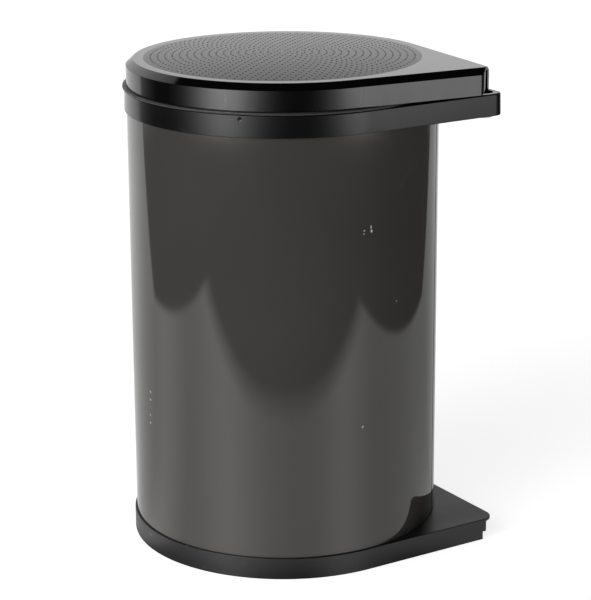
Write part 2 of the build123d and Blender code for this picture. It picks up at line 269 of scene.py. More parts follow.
def blended(tree, amount, first, second):
    """Mix two colours, each a colour or another node's output."""
    node = tree.nodes.new("ShaderNodeMix")
    node.data_type = "RGBA"
    tree.links.new(amount, node.inputs["Factor"])
    for socket, colour in ((node.inputs[6], first), (node.inputs[7], second)):
        if isinstance(colour, tuple):
            socket.default_value = (*colour, 1)
        else:
            tree.links.new(colour, socket)
    return node.outputs[2]


def raised(tree, height, distance, strength=1.0, under=None):
    """Bump from a height between 0 and 1 over a depth in millimetres."""
    node = tree.nodes.new("ShaderNodeBump")
    node.inputs["Distance"].default_value = distance * MM
    node.inputs["Strength"].default_value = strength
    tree.links.new(height, node.inputs["Height"])
    if under is not None:
        tree.links.new(under, node.inputs["Normal"])
    return node.outputs["Normal"]


def arithmetic(tree, operation, first, second=0.0, third=0.0):
    """One step of arithmetic on numbers or other nodes' outputs."""
    node = tree.nodes.new("ShaderNodeMath")
    node.operation = operation
    for socket, value in zip(node.inputs, (first, second, third)):
        if isinstance(value, (int, float)):
            socket.default_value = value
        else:
            tree.links.new(value, socket)
    return node.outputs["Value"]


def mark(tree, coordinates, radius, angle, height, wide, high, lean=0.0, edge=0.5):
    """Mask of one small mark on a round wall: half its width and height in mm, and its lean in degrees."""
    turned_to = math.radians(angle)
    x, y = radius * math.cos(turned_to), radius * math.sin(turned_to)
    node = tree.nodes.new("ShaderNodeMapping")
    node.vector_type = "TEXTURE"
    node.inputs["Location"].default_value = (x * MM, y * MM, height * MM)
    node.inputs["Rotation"].default_value = (math.radians(lean), 0, turned_to)
    node.inputs["Scale"].default_value = (4 * MM, wide * MM, high * MM)
    tree.links.new(coordinates, node.inputs["Vector"])
    reach = tree.nodes.new("ShaderNodeVectorMath")
    reach.operation = "LENGTH"
    tree.links.new(node.outputs["Vector"], reach.inputs[0])
    return span(tree, reach.outputs["Value"], 1 - edge, 1, 1, 0)


def marks(tree, coordinates, radius, places, edge=0.5):
    """Mask of several small marks on a round wall."""
    mask = mark(tree, coordinates, radius, *places[0], edge=edge)
    for place_at in places[1:]:
        mask = arithmetic(tree, "MAXIMUM", mask, mark(tree, coordinates, radius, *place_at, edge=edge))
    return mask


def finish(name):
    """A new material: its node tree, its shader and its object coordinates."""
    material = bpy.data.materials.new(name)
    material.use_nodes = True
    tree = material.node_tree
    shader = tree.nodes["Principled BSDF"]
    coordinates = tree.nodes.new("ShaderNodeTexCoord").outputs["Object"]
    return material, tree, shader, coordinates


def dress(piece, material, body, slot, *nodes):
    """Give a finished piece its material, the body it rides on and the CAD nodes it stands for."""
    piece.data.materials.clear()
    piece.data.materials.append(material)
    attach(piece, body)
    if nodes:
        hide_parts(*nodes)


base_plastic, tree, shader, place = finish("base_black_moulding")
blots = noise(tree, place, 30, 6)
grain = noise(tree, place, 2600, 2)
shade = blended(tree, span(tree, blots, 0.35, 0.7, 0, 1), (0.0055, 0.0055, 0.006), (0.0085, 0.0085, 0.009))
scratches = marks(tree, place, base_r, [(-149, 13.6, 7.0, 0.14, 3), (-143, 14.6, 9.0, 0.12, -2),
                                        (-137.5, 12.6, 6.0, 0.12, 4), (-146, 11.2, 4.0, 0.1, -5)])
shade = blended(tree, arithmetic(tree, "MULTIPLY", scratches, 0.10), shade, (0.5, 0.5, 0.5))
nicks = marks(tree, place, base_r, [(-160.7, 17.5, 0.6, 0.45), (-152.7, 3.7, 0.45, 0.4),
                                    (177.5, 13.0, 3.2, 0.5, -20)])
shade = blended(tree, arithmetic(tree, "MULTIPLY", nicks, 0.25), shade, (0.6, 0.6, 0.6))
tree.links.new(shade, shader.inputs["Base Color"])
tree.links.new(span(tree, blots, 0.3, 0.7, 0.34, 0.42), shader.inputs["Roughness"])
tree.links.new(raised(tree, grain, 0.012, 0.4), shader.inputs["Normal"])
dress(base_tray, base_plastic, "bin", "black_moulding", "base_tray")

# Steel body. Sheet of 0.8 mm rolled into a tube and stove-painted a dark warm grey, with a lap seam that
# faces the square corner. Its foot is turned inwards and screwed to the base; its top stands in the collar.
body_r, sheet_t, body_low, body_top, turned_in_r = 125.0, 0.8, 16.2, 370.9, 112
seam_angle, lap_sweep, lap_back, joggle_lean, joggle_depth = -45.0, 5.05, 2.52, 6.7, 0.35


def turned(points, steps, roundings=()):
    """Draw a closed profile point by point in the XZ plane, spin it about Z and round some of its rings."""
    done()
    bpy.ops.mesh.primitive_plane_add(size=MM, location=(0, 0, 0))
    piece = bpy.context.object
    pick(piece, "VERT", lambda x, y, z: x < 0 or y < 0)
    bpy.ops.mesh.delete(type="VERT")
    pick(piece, "VERT", lambda x, y, z: True)
    last = Vector((0.5, 0.5, 0))
    for index, (x, z) in enumerate(points):
        here = Vector((x, 0, z))
        if index == 0:
            bpy.ops.transform.translate(value=(here - last) * MM)
        else:
            bpy.ops.mesh.extrude_region_move(TRANSFORM_OT_translate={"value": (here - last) * MM})
        last = here
    bpy.ops.mesh.select_all(action="SELECT")
    bpy.ops.mesh.edge_face_add()
    bpy.ops.mesh.delete(type="ONLY_FACE")
    bpy.ops.mesh.select_all(action="SELECT")
    bpy.ops.mesh.spin(steps=steps, angle=TAU, center=(0, 0, 0), axis=(0, 0, 1), use_auto_merge=True)
    bpy.ops.mesh.select_all(action="SELECT")
    bpy.ops.mesh.remove_doubles(threshold=2e-6)
    bpy.ops.mesh.delete_loose(use_verts=True, use_edges=True, use_faces=False)
    bpy.ops.mesh.select_all(action="SELECT")
    bpy.ops.mesh.normals_make_consistent(inside=False)
    done()
    for ring_x, ring_z, width, count in roundings:
        round_edges(piece, width, count, at_point(ring_x, ring_z, 0.12))
    return piece


body_in = body_r - sheet_t
steel_body = turned([(turned_in_r, body_low), (body_r, body_low), (body_r, body_top), (body_in, body_top),
                     (body_in, body_low + sheet_t), (turned_in_r, body_low + sheet_t)], 240,
                    [(body_r, body_low, 1.6, 5), (body_in, body_low + sheet_t, 0.8, 3),
                     (body_r, body_top, 0.2, 2)])
steel_body.name = "steel_body"
lap_in, lap_out = body_in - sheet_t, body_in + 0.1
lap = turned([(lap_in, 18), (lap_out, 18), (lap_out, body_top), (lap_in, body_top)], 240)
cut(lap, block(-130, 130, -130, 0, 0, 400), turn(block(-130, 130, 0, 130, 0, 400), lap_sweep))
lap = turn(lap, seam_angle - lap_back)
joggle = turn(block(0, 3, -4, 0, 15, 372), joggle_lean)
joggle.location = ((body_r - joggle_depth) * MM, 0.3 * MM, 0)
cut(steel_body, turn(settle(joggle), seam_angle))
done()
bpy.context.view_layer.objects.active = steel_body
steel_body.select_set(True)
lap.select_set(True)
bpy.ops.object.join()
smooth(steel_body)

body_paint, tree, shader, place = finish("body_stoved_paint")
blots = noise(tree, place, 9, 3)
peel = noise(tree, place, 480, 2)
hairs = noise(tree, stretched(tree, place, (900, 900, 14)), 1, 6)
shade = blended(tree, span(tree, blots, 0.35, 0.7, 0, 1), (0.051, 0.048, 0.0445), (0.056, 0.053, 0.049))
hairline = marks(tree, place, body_r, [(-72.6, 317.5, 25.0, 0.18, 52.7), (-74.8, 312.0, 9.0, 0.14, 66)])
specks = span(tree, noise(tree, place, 900, 1), 0.5, 0.56, 0, 0.5)
shade = blended(tree, arithmetic(tree, "MULTIPLY", hairline, specks), shade, (0.2, 0.19, 0.17))
chips = marks(tree, place, body_r, [
    (-92.3, 280.4, 1.0, 0.7, 30), (-92.5, 277.9, 0.9, 0.45, 5), (-89.5, 282.4, 0.7, 1.9),
    (-89.3, 279.2, 1.15, 1.5), (-92.6, 121.6, 0.75, 1.3, -28), (-77.3, 218.5, 0.55, 0.75, 15),
    (178.75, 136.3, 1.9, 0.5, -27), (178.55, 129.6, 1.9, 0.5, -27), (178.25, 116.4, 1.9, 0.5, -27),
    (178.1, 109.5, 1.6, 0.42, -27)])
faint_chip = mark(tree, place, body_r, 178.4, 123.1, 1.5, 0.35, -27)
chips = arithmetic(tree, "MAXIMUM", chips, arithmetic(tree, "MULTIPLY", faint_chip, 0.3))
shade = blended(tree, chips, shade, (0.62, 0.61, 0.59))
tree.links.new(shade, shader.inputs["Base Color"])
tree.links.new(span(tree, hairs, 0.4, 0.75, 0.045, 0.065), shader.inputs["Roughness"])
tree.links.new(raised(tree, peel, 0.003, 0.2), shader.inputs["Normal"])
dress(steel_body, body_paint, "bin", "anthracite_steel", "body_shell")

# Top collar. A black moulding that fits over the body's top edge and holds the bucket's lip. Its
# square corner has a deep round socket for the upper pivot, and it is hollow and ribbed underneath.
collar_r, collar_low, collar_top, deck_z, collar_corner_r = 126.8, 356.0, 373.6, 371.0, 9.6
mouth_r, corner_inside, pocket_start, top_draft = 117.2, 123.6, 45, 0.9975
skirt_in, skirt_out, skirt_low, notch_half = 122.0, 124.1, 358.0, 7.6
collar_rib_z, rib_near, rib_far, rib_t = 358.2, 86.6, 124.2, 1.8
upper_boss_r, socket_r, socket_z = 11.5, 8.5, 366.0
collar = cornered(collar_r, collar_corner_r, collar_low, collar_top)
collar.name = "top_collar_moulding"
pick(collar, "VERT", lambda x, y, z: close(z, collar_top))
bpy.ops.transform.resize(value=(top_draft, top_draft, 1), center_override=(0, 0, collar_top * MM))
round_edges(collar, 1.2, 4, lambda x, y, z: close(z, collar_top))
round_edges(collar, 0.5, 2, lambda x, y, z: close(z, collar_low))
cut(collar, bar(125.1, collar_low - 1, deck_z))
pocket = block(pocket_start, corner_inside, -corner_inside, -pocket_start, collar_low - 1, deck_z)
cut(pocket, bar(collar_r, collar_low - 2, deck_z + 1))
round_edges(pocket, 6.4, 5, lambda x, y, z: close(x, corner_inside) and close(y, -corner_inside))
cut(collar, pocket, bar(mouth_r, deck_z - 1, collar_top + 1))
skirt = turned([(skirt_in, skirt_low), (skirt_out, skirt_low), (skirt_out, deck_z + sunk),
                (skirt_in, deck_z + sunk)], 192)
cut(skirt, turn(block(110, 130, -notch_half, notch_half, 350, deck_z), seam_angle))
rib_end = math.sqrt(collar_r**2 - rib_near**2)
rib_front = block(rib_near, rib_near + rib_t, -rib_far, -rib_end + rib_t, collar_rib_z, deck_z + sunk)
rib_side = block(rib_end - rib_t, rib_far, -rib_near - rib_t, -rib_near, collar_rib_z, deck_z + sunk)
corner_rib = block(126.4, pivot * math.sqrt(2), -rib_t / 2, rib_t / 2, collar_rib_z, deck_z + sunk)
join(collar, skirt, rib_front, rib_side, turn(corner_rib, -45),
     bar(upper_boss_r, collar_low, deck_z + sunk, pivot, -pivot, 64))
cut(collar, bar(bush_hole_r, collar_low - 1, collar_top + 1, pivot, -pivot, 64),
    bar(socket_r, socket_z, collar_top + 1, pivot, -pivot, 64))
at_socket = at_point(socket_r, collar_top, 0.1)
round_edges(collar, 0.6, 3, lambda x, y, z: at_socket(x - pivot, y + pivot, z))
round_edges(collar, 0.5, 2, at_point(mouth_r, collar_top, 0.1))
smooth(collar)

collar_plastic, tree, shader, place = finish("collar_black_moulding")
blots = noise(tree, place, 22, 5)
grain = noise(tree, place, 1500, 2)
shade = blended(tree, span(tree, blots, 0.35, 0.7, 0, 1), (0.0045, 0.0046, 0.005), (0.0065, 0.0066, 0.007))
rubs = marks(tree, place, collar_r, [(-94.5, 358.6, 6.5, 1.2, 8), (-158.6, 358.2, 7.0, 0.9, -6),
                                     (-147, 357.8, 6.0, 0.8, 4), (-75, 358.5, 3.5, 0.9, 20)], edge=0.9)
rubs = arithmetic(tree, "MULTIPLY", rubs, span(tree, noise(tree, place, 400, 4), 0.3, 0.6, 0.2, 1))
shade = blended(tree, arithmetic(tree, "MULTIPLY", rubs, 0.03), shade, (0.5, 0.52, 0.52))
tree.links.new(shade, shader.inputs["Base Color"])
tree.links.new(span(tree, blots, 0.3, 0.7, 0.12, 0.17), shader.inputs["Roughness"])
dimple = mark(tree, place, collar_r, -136.6, 370.0, 1.9, 1.9, edge=1.0)
pressed = raised(tree, arithmetic(tree, "MULTIPLY", dimple, -1.0), 0.25)
tree.links.new(raised(tree, grain, 0.004, 0.3, pressed), shader.inputs["Normal"])
shader.inputs["IOR"].default_value = 1.38
dress(collar, collar_plastic, "bin", "black_moulding", "top_collar")

# Pivot bushes. Turned sleeves of natural acetal in the corner's two bosses, each with a flange that
# the bracket's arm bears on. The upper one is held in its socket by a push-on steel ring.
bore_r, sleeve_r, flange_r, ring_r = 4.05, 6.5, 9.0, 8.0


def flanged_sleeve(low, flange_top, top, *roundings):
    """A bush on the Z axis, with its flange below and its bore's lower edge rounded."""
    return turned([(bore_r, low), (flange_r, low), (flange_r, flange_top), (sleeve_r, flange_top),
                   (sleeve_r, top), (bore_r, top)], 64,
                  [(flange_r, low, 0.3, 2), (flange_r, flange_top, 0.3, 2), *roundings,
                   (bore_r, low, 0.35, 2)])


upper_bush = flanged_sleeve(354.3, 355.9, 368.0, (sleeve_r, 368.0, 0.4, 2), (bore_r, 368.0, 0.35, 2))
lower_bush = flanged_sleeve(5.3, 6.9, 14.5)
bush_ring = turned([(sleeve_r, 366.1), (ring_r, 366.1), (ring_r, 367.3), (sleeve_r, 367.3)], 64,
                   [(ring_r, 367.3, 0.25, 2)])
for piece, name in ((upper_bush, "upper_bush"), (lower_bush, "lower_bush"), (bush_ring, "bush_ring")):
    piece.name = name
    piece.location = (pivot * MM, -pivot * MM, 0)
    settle(piece)
    smooth(piece)

acetal, tree, shader, place = finish("bush_acetal")
lathe_marks = noise(tree, stretched(tree, place, (8, 8, 2200)), 1, 3)
shade = blended(tree, noise(tree, place, 60, 4), (0.50, 0.48, 0.42), (0.58, 0.56, 0.50))
tree.links.new(shade, shader.inputs["Base Color"])
tree.links.new(span(tree, lathe_marks, 0.3, 0.7, 0.32, 0.45), shader.inputs["Roughness"])
tree.links.new(raised(tree, lathe_marks, 0.02, 0.3), shader.inputs["Normal"])
dress(upper_bush, acetal, "pivot", "bush_plastic", "upper_pivot_bush")
dress(lower_bush, acetal, "pivot", "bush_plastic", "lower_pivot_bush")

zinc, tree, shader, place = finish("zinc_plate")
spangle = noise(tree, place, 700, 5)
shade = blended(tree, span(tree, spangle, 0.35, 0.65, 0, 1), (0.48, 0.49, 0.50), (0.62, 0.62, 0.61))
tree.links.new(shade, shader.inputs["Base Color"])
tree.links.new(span(tree, spangle, 0.3, 0.7, 0.28, 0.42), shader.inputs["Roughness"])
tree.links.new(raised(tree, spangle, 0.01, 0.3), shader.inputs["Normal"])
shader.inputs["Metallic"].default_value = 1.0
dress(bush_ring, zinc, "pivot", "zinc_steel", "upper_bush_ring")

# Fixing screws. Zinc-plated self-tapping screws with pan heads and a cross recess: four through the
# collar's inner skirt and the steel, and four through the body's foot flange into the base.


def tapping_screw(shank_r, length, head_r, head_h):
    """A screw that points down from a head seated at the origin, with a ridged shank and a cross recess."""
    ridge, pitch = shank_r * 0.28, shank_r * 0.75
    profile = [(0, head_h), (head_r * 0.55, head_h * 0.97), (head_r * 0.9, head_h * 0.62),
               (head_r, head_h * 0.2), (head_r, 0), (shank_r - ridge, 0)]
    low = -pitch
    while low > -length + 1.2:
        profile += [(shank_r, low), (shank_r - ridge, low - pitch / 2)]
        low -= pitch
    profile += [(shank_r * 0.5, -length + 0.6), (0, -length)]
    screw = turned(profile, 24)
    arm = head_r * 0.6
    for across in (0, 90):
        cut(screw, turn(block(-arm, arm, -0.4, 0.4, head_h - 1.0, head_h + 1), across))
    smooth(screw)
    return screw


def copies(piece, angles, name):
    """Turn copies of a piece about Z, each with its own mesh, and join them."""
    made = []
    for angle in angles:
        again = piece.copy()
        again.data = piece.data.copy()
        bpy.context.scene.collection.objects.link(again)
        made.append(turn(again, angle))
    bpy.data.objects.remove(piece)
    done()
    bpy.context.view_layer.objects.active = made[0]
    for again in made:
        again.select_set(True)
    bpy.ops.object.join()
    made[0].name = name
    done()
    return made[0]


side_head_r, side_screw_tip, side_screw_z = 2.8, 126.2, 363.0
screw_seat_r = math.sqrt(skirt_in**2 - side_head_r**2)
side_screw = tapping_screw(1.45, side_screw_tip - screw_seat_r, side_head_r, 1.7)
side_screw.rotation_euler = (0, -math.pi / 2, 0)
side_screw.location = (screw_seat_r * MM, 0, side_screw_z * MM)
side_screws = copies(settle(side_screw), (0, 90, 180, 270), "side_screws")
foot_screw = tapping_screw(1.95, 8.0, 3.4, 2.1)
foot_screw.location = (foot_screw_circle * MM, 0, (floor_top + sheet_t) * MM)
foot_screws = copies(settle(foot_screw), foot_screw_angles, "foot_screws")
dress(side_screws, zinc, "bin", "zinc_steel", "collar_screws")
dress(foot_screws, zinc, "bin", "zinc_steel", "base_screws")

# Inner bucket. A tapered polypropylene bucket that lifts out. Its flat round lip lies on the collar
# and shows as a thin line under the lid, and two ears on the lip carry the bail.
lip_low, lip_top, lip_r = 373.7, 375.9, 128.1
bucket_low, bucket_floor, foot_r, foot_in = 23.7, 25.7, 104.0, 102.46
bucket_r, bucket_in = 115.5, 113.9
ear_in, ear_out, ear_half, ear_top, ear_hole_r, bail_z = 117.0, 119.5, 6.0, 383.5, 1.58, 378.2
bucket = turned([(0, bucket_low), (foot_r, bucket_low), (bucket_r, lip_low), (lip_r, lip_low),
                 (lip_r, lip_top), (bucket_in, lip_top), (foot_in, bucket_floor), (0, bucket_floor)], 240,
                [(foot_r, bucket_low, 5.0, 6), (foot_in, bucket_floor, 3.4, 5), (lip_r, lip_low, 0.9, 3),
                 (lip_r, lip_top, 0.9, 3), (bucket_in, lip_top, 0.5, 2), (bucket_r, lip_low, 0.6, 2)])
bucket.name = "lift_out_bucket"
for side in (0, 180):
    ear = block(ear_in, ear_out, -ear_half, ear_half, lip_top - 1.1, ear_top)
    round_edges(ear, 3.5, 6, lambda x, y, z: close(abs(y), ear_half) and close(z, ear_top))
    hole = bar(ear_hole_r, -10, 10, sides=32)
    hole.rotation_euler = (0, math.pi / 2, 0)
    hole.location = (118.2 * MM, 0, bail_z * MM)
    cut(ear, settle(hole))
    join(bucket, turn(ear, side))
smooth(bucket)

bucket_plastic, tree, shader, place = finish("bucket_polypropylene")
blots = noise(tree, place, 14, 5)
drag = noise(tree, stretched(tree, place, (240, 240, 6)), 1, 5)
shade = blended(tree, span(tree, blots, 0.35, 0.7, 0, 1), (0.022, 0.022, 0.023), (0.033, 0.033, 0.034))
tree.links.new(shade, shader.inputs["Base Color"])
tree.links.new(span(tree, drag, 0.3, 0.7, 0.34, 0.5), shader.inputs["Roughness"])
tree.links.new(raised(tree, drag, 0.02, 0.25), shader.inputs["Normal"])
dress(bucket, bucket_plastic, "bucket", "bucket_plastic", "inner_bucket")

# Bail. Zinc-plated wire of 3 mm, bent to lie inside the lid, with its two ends pushed through the
# bucket's ears and upset so that they stay there. A plastic tube on its straight length is the grip.


def bent_wire(points, bends, radius):
    """Draw a wire point by point, round its corners and give it its thickness."""
    done()
    bpy.ops.mesh.primitive_plane_add(size=MM, location=(0, 0, 0))
    wire = bpy.context.object
    pick(wire, "VERT", lambda x, y, z: x < 0 or y < 0)
    bpy.ops.mesh.delete(type="VERT")
    pick(wire, "VERT", lambda x, y, z: True)
    last = Vector((0.5, 0.5, 0))
    for index, point in enumerate(points):
        here = Vector(point)
        if index == 0:
            bpy.ops.transform.translate(value=(here - last) * MM)
        else:
            bpy.ops.mesh.extrude_region_move(TRANSFORM_OT_translate={"value": (here - last) * MM})
        last = here
    for point, bend in zip(points[1:-1], bends):
        pick(wire, "VERT", lambda *corner: all(close(a, b) for a, b in zip(corner, point)))
        bpy.ops.mesh.bevel(offset=bend * MM, segments=8, affect="VERTICES", offset_type="OFFSET")
    done()
    bpy.context.view_layer.objects.active = wire
    wire.select_set(True)
    bpy.ops.object.convert(target="CURVE")
    wire = bpy.context.object
    wire.data.bevel_depth = radius * MM
    wire.data.bevel_resolution = 5
    wire.data.use_fill_caps = True
    bpy.ops.object.convert(target="MESH")
    return settle(bpy.context.object)


wire_r, wire_end, leg_x, leg_y, shoulder_x, grip_y = 1.5, 120.0, 113.5, 30, 62, 98.0
head_r, head_t = 2.2, 0.8
half = [(wire_end, 0, bail_z), (leg_x, 0, bail_z), (leg_x, leg_y, bail_z), (shoulder_x, grip_y, bail_z)]
bail = bent_wire(half + [(-x, y, z) for x, y, z in reversed(half)], [3.0, 13.5, 6.0, 6.0, 13.5, 3.0], wire_r)
bail.name = "bail_wire"
wire_head = turned([(0, 0), (head_r, 0), (head_r, head_t), (0, head_t)], 24, [(head_r, head_t, 0.3, 2)])
wire_head.rotation_euler = (0, math.pi / 2, 0)
wire_head.location = (wire_end * MM, 0, bail_z * MM)
wire_heads = copies(settle(wire_head), (0, 180), "wire_heads")
done()
bpy.context.view_layer.objects.active = bail
bail.select_set(True)
wire_heads.select_set(True)
bpy.ops.object.join()
smooth(bail)

wire_zinc, tree, shader, place = finish("drawn_wire_zinc")
draw_lines = noise(tree, place, 1800, 3)
shade = blended(tree, noise(tree, place, 90, 5), (0.50, 0.50, 0.51), (0.64, 0.64, 0.63))
tree.links.new(shade, shader.inputs["Base Color"])
tree.links.new(span(tree, draw_lines, 0.3, 0.7, 0.24, 0.38), shader.inputs["Roughness"])
tree.links.new(raised(tree, draw_lines, 0.008, 0.3), shader.inputs["Normal"])
shader.inputs["Metallic"].default_value = 1.0
dress(bail, wire_zinc, "bail", "bail_wire", "bucket_bail")

grip_r, grip_in, grip_half = 4.6, 1.6, 42
grip = turned([(grip_in, -grip_half), (grip_r, -grip_half), (grip_r, grip_half), (grip_in, grip_half)], 48,
              [(grip_r, -grip_half, 1.2, 4), (grip_r, grip_half, 1.2, 4),
               (grip_in, -grip_half, 0.3, 2), (grip_in, grip_half, 0.3, 2)])
grip.name = "bail_grip_tube"
grip.rotation_euler = (0, math.pi / 2, 0)
grip.location = (0, grip_y * MM, bail_z * MM)
settle(grip)
smooth(grip)
grip_plastic, tree, shader, place = finish("grip_black_tube")
ridges = noise(tree, stretched(tree, place, (900, 20, 20)), 1, 2)
shade = blended(tree, noise(tree, place, 80, 4), (0.016, 0.016, 0.017), (0.028, 0.028, 0.029))
tree.links.new(shade, shader.inputs["Base Color"])
tree.links.new(span(tree, ridges, 0.3, 0.7, 0.4, 0.55), shader.inputs["Roughness"])
tree.links.new(raised(tree, ridges, 0.03, 0.3), shader.inputs["Normal"])
dress(grip, grip_plastic, "grip", "grip_plastic", "bail_grip")

# Lid. A polished black moulding with a bevelled edge. Its top has a round satin panel, crowned a little,
# with rings of low studs. The square corner is cut off, and a slot in its end wall lets the arm in.
lid_r, lid_low, lid_top, lid_wall, lid_turn = 125.0, 376.0, 396.7, 2.3, -6.0
lid_side_top, bevel_w, bevel_h, lid_cut_at = 391.8, 5.7, 4.9, 166.98
panel_r, crown_h, cap_r = 111.0, 3.0, 111.4
lid_rib_r, lid_rib_t, lid_rib_z = 100.0, 1.8, 389.4
lug_start, lug_end, lug_low, lug_middle, lug_half_t = 141.0, 159.0, 378.0, 8.6, 1.1


def lid_form(radius, cut_at, low, top):
    """Solid of the lid with its bevelled edge, cut off across the square corner."""
    form = cornered(radius, 0, low, top - bevel_h)
    pick(form, "FACE", lambda x, y, z: close(z, top - bevel_h))
    bpy.ops.mesh.inset(thickness=bevel_w * MM, depth=bevel_h * MM)
    bpy.ops.mesh.select_all(action="SELECT")
    place_at = cut_at / math.sqrt(2) * MM
    bpy.ops.mesh.bisect(plane_co=(place_at, -place_at, 0), plane_no=(1, -1, 0), use_fill=True,
                        clear_outer=True)
    bpy.ops.mesh.select_all(action="SELECT")
    bpy.ops.mesh.normals_make_consistent(inside=False)
    done()
    return form


def on_end_wall(x, y):
    """Whether a place lies on the lid's end wall."""
    return close((x - y) / math.sqrt(2), lid_cut_at)


lid = lid_form(lid_r, lid_cut_at, lid_low, lid_top)
lid.name = "lid_moulding"
round_edges(lid, 2.2, 5, lambda x, y, z: on_end_wall(x, y) and (close(x, lid_r) or close(y, -lid_r)))
round_edges(lid, 0.5, 3, lambda x, y, z: close(z, lid_top))
round_edges(lid, 0.7, 3, lambda x, y, z: close(z, lid_side_top))
cut(lid, lid_form(lid_r - lid_wall, lid_cut_at - lid_wall, lid_low - 1, lid_top - lid_wall))


def crown(radius):
    """Height of the crowned panel above the lid's flat rim."""
    return crown_h * (1 - (radius / panel_r) ** 2)


def crowned_cap(level):
    """Shallow cap with the panel's crown above a level."""
    arc = [(r, level + crown(r)) for r in (0, 16, 32, 48, 64, 80, 94, 104, 110.4, cap_r)]
    return turned(arc + [(cap_r, level - 1), (0, level - 1)], 192)


join(lid, crowned_cap(lid_top))
cut(lid, crowned_cap(lid_top - lid_wall))
lid_rib = turned([(lid_rib_r - lid_rib_t, lid_rib_z), (lid_rib_r, lid_rib_z), (lid_rib_r, lid_top - 0.7),
                  (lid_rib_r - lid_rib_t, lid_top - 0.7)], 128)
join(lid, lid_rib)


def narrowed(half_wide, half_narrow, low, high):
    """Tool for the slot in the end wall, narrower at its top than at its foot."""
    tool = block(-10, 10, -half_wide, half_wide, low, high)
    pick(tool, "VERT", lambda x, y, z: close(z, high))
    bpy.ops.transform.resize(value=(1, half_narrow / half_wide, 1), center_override=(0, 0, 0))
    done()
    tool.location = (lid_cut_at * MM, 0, 0)
    return turn(settle(tool), -45)


cut(lid, narrowed(3.5, 3.0, lid_low + 3, lid_top - lid_wall), narrowed(7.5, 3.4, lid_low, lid_low + 4.5))
for side in (-1, 1):
    lug = block(lug_start, lug_end, side * lug_middle - lug_half_t, side * lug_middle + lug_half_t,
                lug_low, lid_top - lid_wall + 0.5)
    round_edges(lug, 3.0, 4, lambda x, y, z: close(z, lug_low) and (close(x, lug_start) or close(x, lug_end)))
    join(lid, turn(lug, -45))
smooth(lid)
stud_rings, stud_inner_r, stud_pitch, stud_start = 18, 0.345, 5.833, -16.0
stud_r, stud_h, stud_top_r, stud_sunk = 1.2, 0.14, 0.7, 0.4
studs = []
for ring in range(1, stud_rings + 1):
    ring_r = stud_inner_r + ring * stud_pitch
    low, high = crown(ring_r) + lid_top - stud_sunk, crown(ring_r) + lid_top + stud_h
    done()
    bpy.ops.mesh.primitive_cone_add(vertices=10, radius1=stud_r * MM, radius2=stud_top_r * MM,
                                    depth=(high - low) * MM, location=(ring_r * MM, 0, (low + high) / 2 * MM))
    ring_of_studs = settle(bpy.context.object)
    pick(ring_of_studs, "FACE", lambda x, y, z: close(z, high))
    bpy.ops.mesh.inset(thickness=0.35 * MM, depth=0.05 * MM)
    bpy.ops.mesh.select_all(action="SELECT")
    bpy.ops.mesh.faces_shade_smooth()
    more = 6 * ring - 1
    bpy.ops.mesh.spin(steps=more, dupli=True, angle=TAU * more / (more + 1), center=(0, 0, 0), axis=(0, 0, 1))
    done()
    studs.append(turn(ring_of_studs, stud_start))

lid_plastic, tree, shader, place = finish("lid_polished_black")
blots = noise(tree, place, 16, 5)
grain = noise(tree, place, 1300, 2)
flow = noise(tree, stretched(tree, place, (70, 70, 3)), 1, 4)
shade = blended(tree, span(tree, blots, 0.35, 0.7, 0, 1), (0.0012, 0.0012, 0.0013), (0.0018, 0.0018, 0.0019))
flow_lines = marks(tree, place, lid_r, [(-142.0, 384, 1.3, 12), (-93.9, 384, 0.8, 12), (-91.9, 384, 0.6, 12)],
                   edge=0.9)
shade = blended(tree, arithmetic(tree, "MULTIPLY", flow_lines, 0.05), shade, (0.5, 0.5, 0.5))
tree.links.new(shade, shader.inputs["Base Color"])
tree.links.new(span(tree, flow, 0.3, 0.7, 0.055, 0.085), shader.inputs["Roughness"])
tree.links.new(raised(tree, grain, 0.002, 0.2), shader.inputs["Normal"])

panel_plastic, tree, shader, place = finish("lid_panel_satin_black")
blots = noise(tree, place, 20, 5)
grain = noise(tree, place, 1800, 3)
shade = blended(tree, span(tree, blots, 0.35, 0.7, 0, 1), (0.005, 0.0051, 0.0055), (0.008, 0.0081, 0.0085))
tree.links.new(shade, shader.inputs["Base Color"])
tree.links.new(span(tree, grain, 0.3, 0.7, 0.18, 0.26), shader.inputs["Roughness"])
tree.links.new(raised(tree, grain, 0.006, 0.4), shader.inputs["Normal"])
shader.inputs["IOR"].default_value = 1.25

done()
bpy.context.view_layer.objects.active = lid
lid.select_set(True)
for ring_of_studs in studs:
    ring_of_studs.select_set(True)
bpy.ops.object.join()
turn(lid, lid_turn)
dress(lid, lid_plastic, "lid", "lid_plastic", "lid_shell")
lid.data.materials.append(panel_plastic)


def on_panel(x, y, z):
    """Whether a place lies on the crowned panel or its studs."""
    radius = math.hypot(x, y)
    return radius < panel_r + 0.3 and z > lid_top + crown(radius) - 0.5


pick(lid, "FACE", on_panel)
lid.active_material_index = 1
bpy.ops.object.material_slot_assign()
done()

